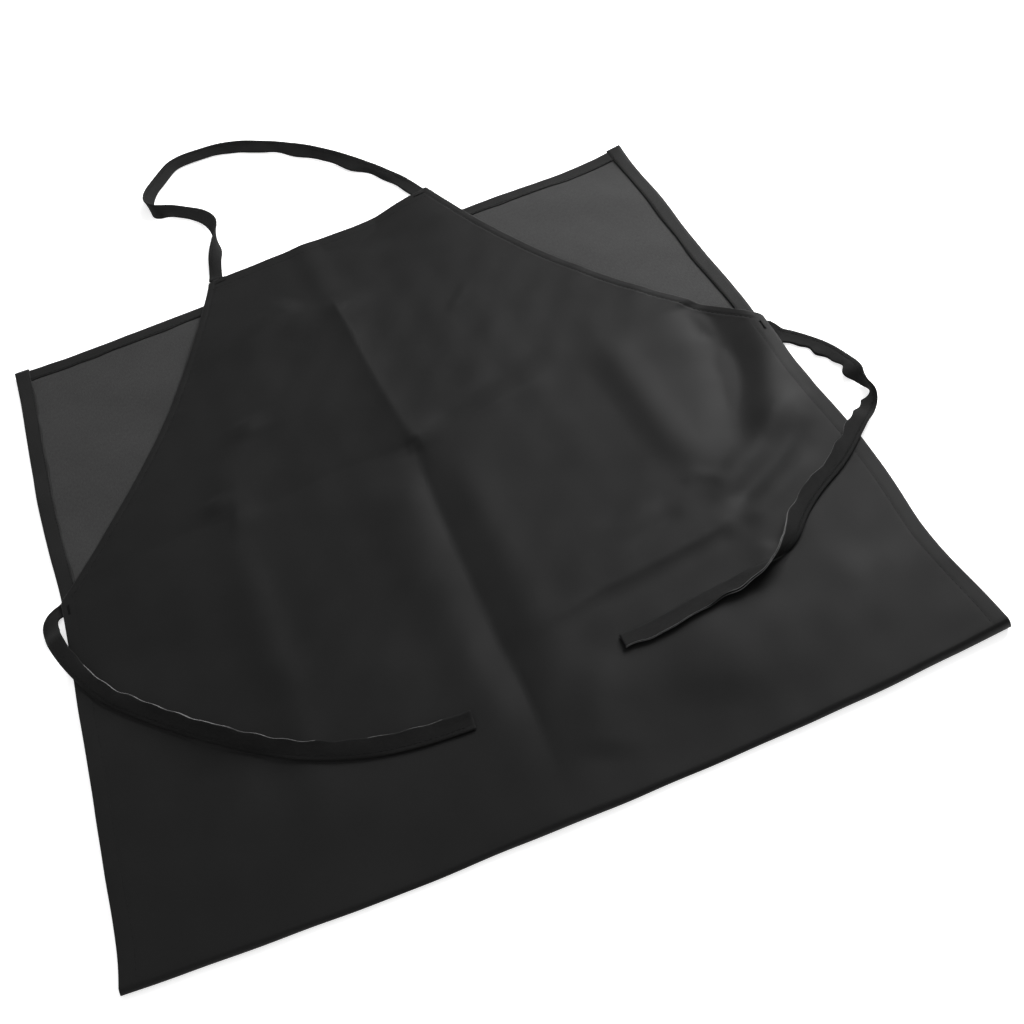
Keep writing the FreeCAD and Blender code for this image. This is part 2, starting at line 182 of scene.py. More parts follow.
# ---- creases of the front
# Each line is in x and distance from the fold; lines start at the crossing they spring from.
CROSS = (-2, 317)
SMALL_CROSS = (-139, 315)
LOWER_CREASE = [CROSS, (-5, 270), (-6, 200), (-6, 130), (-4, 80), (-7, 0)]
FRONT_FOLDS = [
    # path, height, width left, width right, fades, sharp
    ([CROSS, (-9, 420), (-14, 516)], 2.4, 13, 15, (0.03, 0.10), True),
    ([(-12, 480), (-16, 550), (-19, 606)], 1.0, 10, 14, (0.30, 0.01), False),
    (LOWER_CREASE, -2.0, 8, 15, (0.03, 0.30), True),
    ([(-22, 300), (-28, 200), (-29, 130), (-28, 40)], 2.0, 18, 22, (0.12, 0.25), False),
    ([(20, 300), (20, 200), (18, 130), (14, 40)], 1.4, 18, 14, (0.15, 0.3), False),
    ([CROSS, (50, 323), (94, 330), (132, 336)], 1.5, 7, 10, (0.03, 0.6), True),
    ([(8, 326), (64, 347), (126, 366)], -1.3, 10, 13, (0.2, 0.4), False),
    ([CROSS, (-60, 322), SMALL_CROSS], -1.2, 12, 10, (0.05, 0.2), True),
    ([SMALL_CROSS, (-175, 322), (-222, 312)], -1.2, 12, 11, (0.05, 0.4), True),
    ([(-110, 431), (-134, 360), SMALL_CROSS, (-140, 240), (-142, 181), (-132, 146), (-140, 80),
      (-148, 20)],
     2.0, 17, 15, (0.2, 0.3), False),
    ([SMALL_CROSS, (-128, 240), (-126, 143), (-124, 60)], -1.0, 13, 13, (0.1, 0.25), False),
    # Small swellings left of the upper crease, and the soft bands of the bib.
    ([(-110, 416), (-108, 386)], 2.0, 15, 13, (0.4, 0.4), False),
    ([(-151, 344), (-148, 324)], 1.5, 11, 9, (0.4, 0.4), False),
    ([(-38, 530), (-62, 516), (-100, 500), (-146, 486)], 2.2, 13, 17, (0.15, 0.5), False),
    ([(-42, 496), (-66, 466), (-74, 420)], -1.2, 18, 20, (0.3, 0.4), False),
    ([(2, 500), (50, 492), (118, 482)], -1.2, 13, 17, (0.2, 0.4), False),
    ([(30, 560), (76, 552), (120, 548)], -0.9, 14, 16, (0.3, 0.4), False),
    ([(66, 438), (82, 456), (94, 470)], 0.5, 4, 5, (0.3, 0.4), False),
    # Soft folds that hang from the right armhole.
    ([(158, 392), (158, 335), (160, 285), (162, 240), (163, 200), (161, 176)],
     1.8, 17, 14, (0.40, 0.3), False),
    ([(124, 350), (134, 305), (138, 260), (140, 220), (138, 190)], -0.6, 12, 20, (0.2, 0.3), False),
    ([(234, 350), (233, 318), (232, 289), (226, 260), (215, 236), (202, 210), (188, 184)],
     -2.6, 13, 17, (0.05, 0.22), False),
    ([(264, 340), (264, 312), (262, 288), (256, 262), (245, 238), (231, 214), (214, 190)],
     2.8, 16, 13, (0.05, 0.22), False),
    ([(231, 342), (226, 326), (215, 304)], -0.8, 7, 5, (0.3, 0.4), True),
    ([(238, 336), (232, 317), (224, 298)], -0.6, 5, 5, (0.3, 0.4), False),
    ([(262, 230), (220, 202), (188, 182), (168, 166), (159, 150)], 1.7, 9, 10, (0.2, 0.3), False),
    ([(252, 203), (214, 177), (184, 161), (165, 148)], -1.6, 8, 8, (0.25, 0.2), False),
    ([(240, 176), (212, 157), (184, 143), (167, 133)], 1.3, 8, 11, (0.3, 0.2), False),
    ([(178, 118), (168, 104), (166, 90)], 0.8, 8, 8, (0.3, 0.5), False),
    ([(146, 186), (160, 190), (171, 181), (172, 168)], 0.5, 5, 6, (0.3, 0.3), False),
    # Sharper folds that run from the star towards the middle.
    ([(176, 147), (150, 140), (124, 137), (96, 134), (66, 132), (32, 124), (-4, 110)],
     1.7, 7, 12, (0.14, 0.3), True),
    ([(164, 136), (148, 133), (122, 129), (96, 125), (60, 121), (20, 111)],
     -1.0, 7, 13, (0.1, 0.35), False),
    ([(142, 166), (118, 161), (84, 154)], -0.6, 7, 8, (0.25, 0.45), False),
    ([(138, 178), (112, 174), (70, 168)], 0.6, 9, 9, (0.3, 0.45), False),
    ([(100, 20), (112, 60), (100, 100)], 1.2, 20, 22, (0.3, 0.4), False),
    ([(20, 20), (34, 56), (60, 84)], 1.4, 14, 18, (0.2, 0.4), False),
    ([(226, 60), (200, 90), (186, 108)], 0.9, 20, 20, (0.3, 0.4), False),
    ([(-200, 60), (-180, 110), (-186, 160)], 1.4, 22, 22, (0.4, 0.4), False),
    ([(-90, 60), (-70, 110), (-76, 170)], 1.2, 20, 24, (0.4, 0.4), False),
]


NO_EDGE = 99.0                  # an inset so deep that the edge doesn't show


def edge_relief(inset, seam, run, show):
    """A hem seen from the face: a faint raised band, a seam that pulls in, and a rolled edge."""
    hem = seam + SEAM_IN
    band = 0.12 * (1 - ease((inset - hem + 1.5) / 3.0))
    groove = -0.4 * np.exp(-((inset - seam) / 0.9) ** 2)
    rolled = -0.8 * (1 - np.sqrt(np.clip(1 - (1 - np.clip(inset, 0, 1.2) / 1.2) ** 2, 0, 1)))
    pull = 0.30 * np.sin(run / 1.7 + 2.0 * np.sin(run / 23.0)) + 0.22 * np.sin(run / 4.3 + 1.0)
    pucker = 0.5 * pull * np.exp(-np.abs(inset - seam) / 4.0)
    return (band + groove + pucker) * show + rolled


def front_height(x, d):
    """Height of the front's upper face above the table."""
    z = FRONT_Z + (ROLL_Z - FRONT_Z) * fading(d, 26.0)
    z = z + AIR_BY_FOLD * np.exp(-((d - AIR_AT) / AIR_REACH) ** 2)
    for path, height, left, right, fade, sharp in FRONT_FOLDS:
        z = z + crease(x, d, path, height, left, right, fade, sharp)
    z = z + swell(x, d, 3, 14, 90, 210, 0.7) + swell(x, d, 5, 20, 26, 64, 0.17)
    # The right side and the fold's right corner rise a little.
    z = z + RIGHT_RISE * np.exp(-(HALF - x) / RIGHT_REACH) * (0.4 + 0.6 * ease(d / CORNER_REACH))
    z = z + corner_rise(x, d, (HALF, 0), CORNER_RISE, CORNER_REACH)
    # The bib lies on the table past the flap's end, and its right corner is lifted.
    z = z - BIB_DROP * ease((d - FLAP_LENGTH + 10) / 30)
    z = z + mound(x, d, 5.0, (BIB_HALF, FRONT_LENGTH), (45, 60))
    z = z + mound(x, d, -1.5, (40, FRONT_LENGTH), (26, 40))
    side = np.where(d < WAIST, HALF - np.abs(x), NO_EDGE)
    arm = np.where(d >= WAIST, armhole_inset(x, d), NO_EDGE)
    top = FRONT_LENGTH - d
    relief = edge_relief(side, SIDE_HEM - SEAM_IN, d, np.where(x > 0, 0.25, 0.1))
    relief = relief + edge_relief(arm, ARM_HEM - SEAM_IN, d * 1.15, 0.7)
    relief = relief + edge_relief(top, BIB_HEM - SEAM_IN, x, 0.2)
    # Inside its hems the cloth may sink nearer to the flap than it can over them.
    inside = ease((np.minimum(np.minimum(side, np.abs(arm)), top) - 14) / 20)
    return np.maximum(z, FRONT_LOWEST - SINK * inside) + relief


def bow(x, d):
    """The fold is not creased flat, so its middle lies a little further out than its ends."""
    return -BOW * np.clip(1 - (np.abs(x) / HALF) ** 2.6, 0, 1) * fading(d, 60)


def sway(x, d):
    """The side edges wander: out at the fold's left corner, in above its right corner."""
    right = -6.5 * np.exp(-((d - 66) / 46) ** 2) * fading(HALF - x, 60)
    return right - 4.2 * fading(d, 35) * fading(HALF + x, 60)


def front_place(x, d):
    """Where a point of the front lies: the cloth is not laid quite square."""
    lean = -0.012 + 0.029 * np.clip(d / WAIST, 0, 1)
    lean = lean + 0.052 * np.clip((d - WAIST) / (FRONT_LENGTH - WAIST), 0, 1) ** 1.3
    wave = swell(x, d, 11, 6, 70, 160, 0.5)
    y = FOLD + d + x * lean + wave * ease(d / 30)
    # The bib's top edge dips between its corners.
    y = y - 3.5 * np.exp(-((x - 38) / 30) ** 2) * ease((d - FRONT_LENGTH + 80) / 80)
    return x + swell(x * 0.2, d, 13, 6, 60, 150, 0.55) + sway(x, d), y + bow(x, d)


def front_point(x, d, lift=0.0):
    """A point of the front's upper face, or lift above it."""
    x, d = np.broadcast_arrays(np.asarray(x, float), np.asarray(d, float))
    px, py = front_place(x, d)
    return np.stack([px, py, front_height(x, d) + lift], axis=-1)


# ---- the flap beneath
def flap_height(x, d):
    """Height of the flap's upper side, which is the cloth's wrong side."""
    waves = 0.3 + swell(x, d, 21, 10, 60, 170, 0.7) + swell(x, d, 22, 14, 18, 50, 0.10)
    z = FLAP_Z - 0.2 + waves * ease((d - 4) / 60)
    z = z + mound(x, d, 0.8, (190, 470), (28, 60))
    z = z + corner_rise(x, d, (HALF, FLAP_LENGTH), 4.0, 20)
    z = z + corner_rise(x, d, (-HALF, FLAP_LENGTH), 1.2, 20)
    return np.maximum(z, CLOTH + 0.1)


def flap_place(x, d):
    """Where a point of the flap lies; its left side wanders out towards the hem."""
    lean = -0.012 + 0.022 * d / FLAP_LENGTH
    wave = swell(x, d, 23, 5, 90, 200, 0.7) * ease(d / 60)
    left = -5.2 * ease((d - 300) / 120) * fading(HALF + x, 90)
    px = x + swell(x * 0.2, d, 25, 5, 80, 200, 0.7) + sway(x, d) + left
    return px, FOLD + d + x * lean + wave + bow(x, d)


def flap_point(x, d, lift=0.0):
    """A point of the flap's upper side, or lift above it."""
    x, d = np.broadcast_arrays(np.asarray(x, float), np.asarray(d, float))
    px, py = flap_place(x, d)
    return np.stack([px, py, flap_height(x, d) + lift], axis=-1)


# ---- mesh makers
def grid_faces(rows, cols, first=0, flip=False, wrap=False):
    """Quads of a grid of points, row by row; wrap joins the last column to the first."""
    faces = []
    span = cols if wrap else cols - 1
    for r in range(rows - 1):
        for c in range(span):
            a = first + r * cols + c
            b = first + r * cols + (c + 1) % cols
            quad = (a, b, b + cols, a + cols)
            faces.append(quad[::-1] if flip else quad)
    return faces


def make_mesh(name, points, faces, materials, indices=None, uvs=None):
    """A smooth mesh object from points in millimetres; uvs are per point, in metres."""
    mesh = bpy.data.meshes.new(name)
    mesh.from_pydata((np.asarray(points) * MM).tolist(), [], faces)
    for material in materials:
        mesh.materials.append(material)
    if indices is not None:
        mesh.polygons.foreach_set("material_index", np.asarray(indices, dtype=np.int32))
    if uvs is not None:
        layer = mesh.uv_layers.new(name="cloth")
        loops = np.empty(len(mesh.loops), dtype=np.int32)
        mesh.loops.foreach_get("vertex_index", loops)
        layer.data.foreach_set("uv", (np.asarray(uvs)[loops] * MM).astype(np.float32).ravel())
    mesh.polygons.foreach_set("use_smooth", np.ones(len(mesh.polygons), dtype=bool))
    mesh.validate()
    mesh.update()
    piece = bpy.data.objects.new(name, mesh)
    bpy.context.scene.collection.objects.link(piece)
    return piece


def grid_normals(points):
    across = np.gradient(points, axis=1)
    down = np.gradient(points, axis=0)
    normal = np.cross(across, down)
    return normal / np.maximum(np.linalg.norm(normal, axis=2, keepdims=True), 1e-9)


def settle(piece, body, node=None):
    """Hides the CAD node that a piece stands for, if any, and hangs the piece on the body that it
    moves with.
    """
    if node:
        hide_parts(node)
    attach(piece, body)
    return piece


def shell(name, points, uvs, upper, lower, thickness=CLOTH):
    """A closed sheet: the grid of points is its upper side, and its lower side is offset."""
    rows, cols = points.shape[:2]
    under = points - grid_normals(points) * thickness
    count = rows * cols
    faces = grid_faces(rows, cols)
    faces += grid_faces(rows, cols, count, flip=True)
    top = len(faces) // 2
    rim = list(range(cols))
    rim += [r * cols + cols - 1 for r in range(1, rows)]
    rim += [(rows - 1) * cols + c for c in range(cols - 2, -1, -1)]
    rim += [r * cols for r in range(rows - 2, 0, -1)]
    edge = [(b, a, a + count, b + count) for a, b in zip(rim, rim[1:] + rim[:1])]
    indices = [0] * top + [1] * top + [0] * len(edge)
    both = np.concatenate([points.reshape(-1, 3), under.reshape(-1, 3)])
    flat = uvs.reshape(-1, 2)
    uvs = np.concatenate([flat, flat])
    return make_mesh(name, both, faces + edge, [upper, lower], indices, uvs)


def tube(name, rings, uvs, materials, indices=None):
    """A closed tube through rings of points; indices gives the material of each side face."""
    rows, cols = rings.shape[:2]
    faces = grid_faces(rows, cols, wrap=True)
    per_face = None if indices is None else list(indices)
    points = rings.reshape(-1, 3)
    flat = uvs.reshape(-1, 2)
    for row, order in ((0, -1), (rows - 1, 1)):
        ring = list(range(row * cols, (row + 1) * cols))[::order]
        faces.append(tuple(ring))
        if per_face is not None:
            per_face.append(0)
    return make_mesh(name, points, faces, materials, per_face, flat)


# ---- materials
def nodes_of(name):
    material = bpy.data.materials.new(name)
    material.use_nodes = True
    tree = material.node_tree
    shader = tree.nodes["Principled BSDF"]
    return material, tree, shader


def link(tree, output, target):
    tree.links.new(output, target)


def new_node(tree, kind, **settings):
    node = tree.nodes.new(kind)
    for key, value in settings.items():
        setattr(node, key, value)
    return node


def noise(tree, vector, scale, detail=3.0, roughness=0.55, stretch=None):
    if stretch:
        mapping = new_node(tree, "ShaderNodeMapping")
        mapping.inputs["Scale"].default_value = stretch
        link(tree, vector, mapping.inputs["Vector"])
        vector = mapping.outputs["Vector"]
    node = new_node(tree, "ShaderNodeTexNoise")
    node.inputs["Scale"].default_value = scale
    node.inputs["Detail"].default_value = detail
    node.inputs["Roughness"].default_value = roughness
    link(tree, vector, node.inputs["Vector"])
    return node.outputs["Fac"]


def arithmetic(tree, operation, first, second):
    node = new_node(tree, "ShaderNodeMath", operation=operation)
    for socket, value in zip(node.inputs, (first, second)):
        if isinstance(value, (int, float)):
            socket.default_value = value
        else:
            link(tree, value, socket)
    return node.outputs["Value"]


def remap(tree, value, low, high, to_low, to_high):
    node = new_node(tree, "ShaderNodeMapRange")
    link(tree, value, node.inputs["Value"])
    ends = {"From Min": low, "From Max": high, "To Min": to_low, "To Max": to_high}
    for end, number in ends.items():
        node.inputs[end].default_value = number
    return node.outputs["Result"]


def greys(tree, factor, dark, light):
    """A neutral grey between dark and light."""
    node = new_node(tree, "ShaderNodeMix", data_type="RGBA")
    link(tree, factor, node.inputs["Factor"])
    node.inputs["A"].default_value = (dark, dark, dark, 1)
    node.inputs["B"].default_value = (light, light, light, 1)
    return node.outputs["Result"]


def weave(tree, vector, pitch, diagonal):
    """Threads crossing at right angles, or a twill's slanting ribs, pitch metres apart."""
    waves = []
    for turn in ((math.radians(45),) if diagonal else (0.0, math.radians(90))):
        mapping = new_node(tree, "ShaderNodeMapping")
        mapping.inputs["Rotation"].default_value = (0, 0, turn)
        link(tree, vector, mapping.inputs["Vector"])
        wave = new_node(tree, "ShaderNodeTexWave", wave_type="BANDS", bands_direction="X")
        wave.inputs["Scale"].default_value = 0.314 / pitch
        wave.inputs["Distortion"].default_value = 1.2
        wave.inputs["Detail"].default_value = 1.0
        wave.inputs["Detail Scale"].default_value = 1.5
        link(tree, mapping.outputs["Vector"], wave.inputs["Vector"])
        waves.append(wave.outputs["Fac"])
    return waves[0] if diagonal else arithmetic(tree, "MULTIPLY", waves[0], waves[1])


def cloth_material(name, dark, light, pitch, rough, gloss, sheen, diagonal, bump, grain):
    """Woven cloth: uneven dye, fine threads, slight rubbing, soft sheen."""
    material, tree, shader = nodes_of(name)
    place = new_node(tree, "ShaderNodeUVMap", uv_map="cloth").outputs["UV"]
    broad = noise(tree, place, 9.0, 4.0)
    fine = noise(tree, place, 900.0, 2.0, 0.7, (1.0, 0.35, 1.0))
    threads = weave(tree, place, pitch, diagonal)
    shade = arithmetic(tree, "MULTIPLY", broad, 0.55)
    shade = arithmetic(tree, "ADD", shade, arithmetic(tree, "MULTIPLY", fine, grain))
    shade = arithmetic(tree, "ADD", shade, arithmetic(tree, "MULTIPLY", threads, 0.25))
    shade = remap(tree, shade, 0.2, 0.2 + 0.55 + grain, 0.0, 1.0)
    link(tree, greys(tree, shade, dark, light), shader.inputs["Base Color"])
    link(tree, remap(tree, broad, 0.3, 0.7, rough - 0.05, rough + 0.05), shader.inputs["Roughness"])
    shader.inputs["Specular IOR Level"].default_value = gloss
    shader.inputs["Sheen Weight"].default_value = sheen
    shader.inputs["Sheen Roughness"].default_value = 0.45
    shader.inputs["Sheen Tint"].default_value = (1.0, 1.0, 1.0, 1.0)
    height = arithmetic(tree, "ADD", threads, arithmetic(tree, "MULTIPLY", fine, 0.6))
    bumps = new_node(tree, "ShaderNodeBump")
    bumps.inputs["Strength"].default_value = bump
    bumps.inputs["Distance"].default_value = 0.00012
    link(tree, height, bumps.inputs["Height"])
    link(tree, bumps.outputs["Normal"], shader.inputs["Normal"])
    return material


def thread_material():
    material, tree, shader = nodes_of("sewing_thread")
    place = new_node(tree, "ShaderNodeTexCoord").outputs["Object"]
    twist = noise(tree, place, 2500.0, 2.0)
    link(tree, greys(tree, twist, 0.006, 0.014), shader.inputs["Base Color"])
    link(tree, remap(tree, twist, 0.3, 0.7, 0.45, 0.65), shader.inputs["Roughness"])
    shader.inputs["Specular IOR Level"].default_value = 0.05
    return material


def raw_edge_material():
    """Pale cut ends of the threads along a strap's open edge, dark where the fold hides them."""
    material, tree, shader = nodes_of("strap_raw_edge")
    place = new_node(tree, "ShaderNodeUVMap", uv_map="cloth").outputs["UV"]
    hidden = noise(tree, place, 26.0, 2.0, 0.5, (0.0, 1.0, 1.0))
    fuzz = noise(tree, place, 1800.0, 3.0)
    show = arithmetic(tree, "MULTIPLY", remap(tree, hidden, 0.34, 0.46, 0.25, 1.0), fuzz)
    shade = remap(tree, show, 0.05, 0.6, 0.0, 1.0)
    link(tree, greys(tree, shade, 0.02, 0.17), shader.inputs["Base Color"])
    link(tree, remap(tree, fuzz, 0.2, 0.8, 0.75, 0.95), shader.inputs["Roughness"])
    shader.inputs["Specular IOR Level"].default_value = 0.1
    return material


FACE = cloth_material("cloth_face_black", 0.0088, 0.0138, 0.00052, 0.5, 0.07, 0.015, True, 0.3,
                      0.14)
BACK = cloth_material("cloth_wrong_side", 0.014, 0.058, 0.00062, 0.66, 0.12, 0.04, False, 1.0, 1.4)
HEM_FACE = cloth_material("hem_cloth", 0.0095, 0.017, 0.00052, 0.5, 0.07, 0.03, True, 0.45, 0.2)
STRAP = cloth_material("strap_cloth", 0.0082, 0.0245, 0.00052, 0.7, 0.02, 0.02, True, 0.7, 0.45)
THREAD = thread_material()
RAW = raw_edge_material()


# ---- cloth
EDGE_INSETS = np.array([0, 0.3, 0.7, 1.2, 2, 3, 4, 5, 6, 7, 8, 9, 10, 11, 12.5, 15, 18])
CORNER_R = {-1: 4.0, 1: 9.0}    # rounding of the bib's left and right corners
FRONT_COLUMNS, FRONT_STEP = 178, 2.6
FLAP_COLUMNS, FLAP_STEP = 140, 3.4


def row_of(width_left, width_right, inner):
    """x of a row of points: fine steps in both hems, and inner even ones between."""
    left = -(width_left - EDGE_INSETS)
    right = (width_right - EDGE_INSETS)[::-1]
    middle = np.linspace(left[-1], right[0], inner + 2)[1:-1]
    return np.concatenate([left, middle, right])


def stations(length, step, ends):
    """Distances along a piece: even steps, with the hem's fine insets at the far end."""
    even = np.arange(0, length - ends[-1], step)
    return np.concatenate([even, length - ends[::-1]])


def front_rows():
    """Distances from the fold, row by row, with fine rows at the bib's edge, and each row's x."""
    rows = stations(FRONT_LENGTH, FRONT_STEP, EDGE_INSETS)
    grid = []
    for d in rows:
        widths = {}
        for side, radius in CORNER_R.items():
            cut = max(0.0, d - (FRONT_LENGTH - radius))
            rounded = radius - math.sqrt(max(radius ** 2 - cut ** 2, 0))
            widths[side] = float(half_width(d)) - rounded
        grid.append(row_of(widths[-1], widths[1], FRONT_COLUMNS))
    return np.array(grid), rows


def make_front():
    """The bib and skirt front, with the soft roll that brings the cloth round from the flap."""
    x, rows = front_rows()
    d = np.repeat(rows[:, None], x.shape[1], axis=1)
    face = front_point(x, d)
    low = flap_point(x[0], 0, -CLOTH)
    reach = ROLL_OUT + swell(x[0], x[0] * 0, 31, 6, 50, 140, 0.35)
    roll = []
    turns = np.radians(np.arange(-90, 89, 10))
    for turn in turns:
        share = (1 + math.sin(turn)) / 2
        ring = low + (face[0] - low) * share
        ring[:, 1] -= reach * math.cos(turn)
        roll.append(ring)
    points = np.concatenate([roll, face])
    around = (turns - math.pi / 2) * ROLL_OUT
    distance = np.concatenate([around, rows])
    flat = np.repeat(distance[:, None], x.shape[1], axis=1)
    across = np.concatenate([np.repeat(x[:1], len(turns), axis=0), x])
    piece = shell("front_cloth", points, np.stack([across, flat], axis=-1), FACE, BACK)
    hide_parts("front_panel", "skirt_fold")
    low, high = FOLD_BLEND
    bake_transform(piece)
    return piece


def make_flap():
    """The part of the skirt that lies beneath, with the cloth's wrong side up."""
    rows = stations(FLAP_LENGTH, FLAP_STEP, EDGE_INSETS)
    x = np.repeat(row_of(HALF, HALF, FLAP_COLUMNS)[None, :], len(rows), axis=0)
    d = np.repeat(rows[:, None], x.shape[1], axis=1)
    piece = shell("flap_cloth", flap_point(x, d), np.stack([x, -d], axis=-1), BACK, FACE)
    return settle(piece, "flap", "skirt_flap")


# ---- hems
# A hem's section, as shares of its width and its height.
HEM_SECTION = [(0.0, 0.5), (0.02, 0.86), (0.05, 1.0), (0.25, 1.0), (0.5, 0.98), (0.75, 1.0),
               (0.94, 1.0), (0.985, 0.8), (1.0, 0.45), (0.985, 0.1), (0.9, 0.0), (0.5, 0.0),
               (0.1, 0.0), (0.02, 0.14)]
# A hem's lowest and highest side, from the face it belongs to, and how much its width wanders.
UNDER_FRONT = (-1.4, -CLOTH, 0.3)
FLAP_SIDE = (-0.35, 1.15, 0.45)
FLAP_END = (-0.3, 0.85, 0.55)


def hem_rings(point, edge_x, edge_d, in_x, in_d, widths, low, high):
    """Rings of a flat turned hem: point places cloth, edge is its outer line, in points inwards."""
    rings = []
    for share, height in HEM_SECTION:
        x = edge_x + in_x * widths * share
        d = edge_d + in_d * widths * share
        ring = point(x, d)
        ring[:, 2] += low + (high - low) * height
        rings.append(ring)
    rings = np.array(rings).transpose(1, 0, 2)
    run = np.hypot(np.gradient(edge_x), np.gradient(edge_d)).cumsum()
    across = np.array([share for share, _ in HEM_SECTION])
    uvs = np.stack([across[None, :] * widths[:, None], np.repeat(run[:, None], len(across), 1)], -1)
    return rings, uvs


def make_hem(name, node, body, point, edge_x, edge_d, in_x, in_d, width, low, high, wobble):
    """One turned hem, in place of its CAD node."""
    run = np.hypot(np.gradient(edge_x), np.gradient(edge_d)).cumsum()
    widths = width + swell(run, run * 0, len(name), 7, 18, 90, wobble)
    rings, uvs = hem_rings(point, edge_x, edge_d, in_x, in_d, widths, low, high)
    return settle(tube(name, rings, uvs, [HEM_FACE]), body, node)


def straight(a, b, step=2.5):
    """Even numbers from a to b, about step apart."""
    count = max(2, int(abs(b - a) / step))
    return np.linspace(a, b, count)


def armhole_line(inset, step=2.5):
    """x (right side) and d along the armhole edge, or a line inset from it."""
    d = straight(WAIST, FRONT_LENGTH - 1.0, step)
    x = ARM_CX - np.sqrt((ARM_R + inset) ** 2 - (d - ARM_CY) ** 2)
    return x, d


def make_hems():
    """All the hems, listed by the sheet that they belong to."""
    pieces = {"flap": [], "front": []}
    for side, name in ((-1, "left"), (1, "right")):
        d = straight(0, FLAP_LENGTH + 2.0)
        ones = np.ones_like(d)
        pieces["flap"].append(make_hem(
            f"flap_{name}_turned_hem", f"flap_{name}_hem", "flap", flap_point,
            side * (HALF + 0.6) * ones, np.minimum(d, FLAP_LENGTH + 2.0), -side * ones, 0 * ones,
            SIDE_HEM, *FLAP_SIDE))
        d = straight(0, WAIST)
        ones = np.ones_like(d)
        pieces["front"].append(make_hem(
            f"front_{name}_turned_hem", f"front_{name}_hem", "front", front_point,
            side * (HALF - 0.2) * ones, d, -side * ones, 0 * ones, SIDE_HEM, *UNDER_FRONT))
        x, d = armhole_line(0.2)
        out = np.hypot(ARM_CX - x, ARM_CY - d)
        in_x, in_d = (x - ARM_CX) / out * side, (d - ARM_CY) / out
        pieces["front"].append(make_hem(
            f"{name}_armhole_turned_hem", f"{name}_armhole_hem", "front", front_point,
            side * x, d, in_x, in_d, ARM_HEM, *UNDER_FRONT))
    x = straight(-HALF + SIDE_HEM * 0.4, HALF - SIDE_HEM * 0.4)
    ones = np.ones_like(x)
    pieces["flap"].append(make_hem(
        "bottom_turned_hem", "bottom_hem", "flap", flap_point, x, (FLAP_LENGTH + 0.4) * ones,
        0 * ones, -ones, BOTTOM_HEM, *FLAP_END))
    x = straight(-BIB_HALF + 5, BIB_HALF - 9)
    ones = np.ones_like(x)
    pieces["front"].append(make_hem(
        "bib_turned_hem", "bib_hem", "front", front_point, x, (FRONT_LENGTH - 0.3) * ones,
        0 * ones, -ones, BIB_HEM, *UNDER_FRONT))
    return pieces


# ---- stitches
# A stitch's half thickness, its length and the gap after it.
STITCH_HALF = 0.26
STITCH = 3.0
STITCH_GAP = 0.9
STRAP_STITCH = (0.2, 2.6, 0.8)
TACK_STITCH = (0.22, 1.6, 0.05)
# A stitch's shape: share of its length, thickness, and how far it is raised.
STITCH_SHAPE = [(0.0, 0.25, -0.8), (0.15, 0.85, 0.1), (0.5, 1.0, 0.35), (0.85, 0.85, 0.1),
                (1.0, 0.25, -0.8)]
# How high a seam lies, from the face of its sheet.
IN_GROOVE = -0.08
ON_SIDE_HEM = 1.2
ON_BOTTOM_HEM = 0.92
SEAM_STEP = 1.0


def stitch_row(name, line, body, node=None, half=STITCH_HALF, length=STITCH, gap=STITCH_GAP):
    """Separate stitches of thread along a line of points, each a low pointed dash."""
    line = np.asarray(line)
    steps = np.linalg.norm(np.diff(line, axis=0), axis=1)
    run = np.concatenate([[0], np.cumsum(steps)])
    starts = np.arange(gap / 2, run[-1] - length, length + gap)
    around = np.radians([0, 60, 120, 180, 240, 300])
    points, faces = [], []
    for start in starts:
        jitter = rng.uniform(-0.12, 0.12, 2)
        first = len(points)
        for share, size, raised in STITCH_SHAPE:
            at = start + length * share
            centre = np.array([np.interp(at, run, line[:, k]) for k in range(3)])
            ahead = np.array([np.interp(at + 0.5, run, line[:, k]) for k in range(3)])
            behind = np.array([np.interp(at - 0.5, run, line[:, k]) for k in range(3)])
            go = ahead - behind
            across = np.array([-go[1], go[0], 0.0])
            across /= max(np.linalg.norm(across), 1e-9)
            centre = centre + across * (jitter[0] + (jitter[1] - jitter[0]) * share)
            for turn in around:
                offset = across * math.cos(turn) * half * size
                lift = half * (math.sin(turn) * size * 0.8 + raised * 0.5)
                points.append(centre + offset + np.array([0, 0, lift]))
        sides = len(around)
        faces += grid_faces(len(STITCH_SHAPE), sides, first, wrap=True)
        faces.append(tuple(range(first, first + sides))[::-1])
        last = first + (len(STITCH_SHAPE) - 1) * sides
        faces.append(tuple(range(last, last + sides)))
    return settle(make_mesh(name, points, faces, [THREAD]), body, node)


def make_seams():
    """All the seams, listed by the sheet that they belong to."""
    pieces = {"flap": [], "front": []}

    def sew(place, line, body):
        pieces[body].append(stitch_row(f"{place}_stitches", line, body, f"{place}_seam"))

    for side, name in ((-1, "left"), (1, "right")):
        inset = SIDE_HEM - SEAM_IN
        d = straight(2, WAIST - 2, SEAM_STEP)
        sew(f"front_{name}", front_point(side * (HALF - inset), d, IN_GROOVE), "front")
        d = straight(2, FLAP_LENGTH - 1, SEAM_STEP)
        sew(f"flap_{name}", flap_point(side * (HALF - inset), d, ON_SIDE_HEM), "flap")
        x, d = armhole_line(ARM_HEM - SEAM_IN, SEAM_STEP)
        sew(f"{name}_armhole", front_point(side * x, d), "front")
    x = straight(-BIB_HALF, BIB_HALF - 4, SEAM_STEP)
    sew("bib", front_point(x, FRONT_LENGTH - BIB_HEM + SEAM_IN, IN_GROOVE), "front")
    x = straight(-HALF + 2, HALF - 2, SEAM_STEP)
    sew("bottom", flap_point(x, FLAP_LENGTH - BOTTOM_HEM + SEAM_IN, ON_BOTTOM_HEM), "flap")
    return pieces


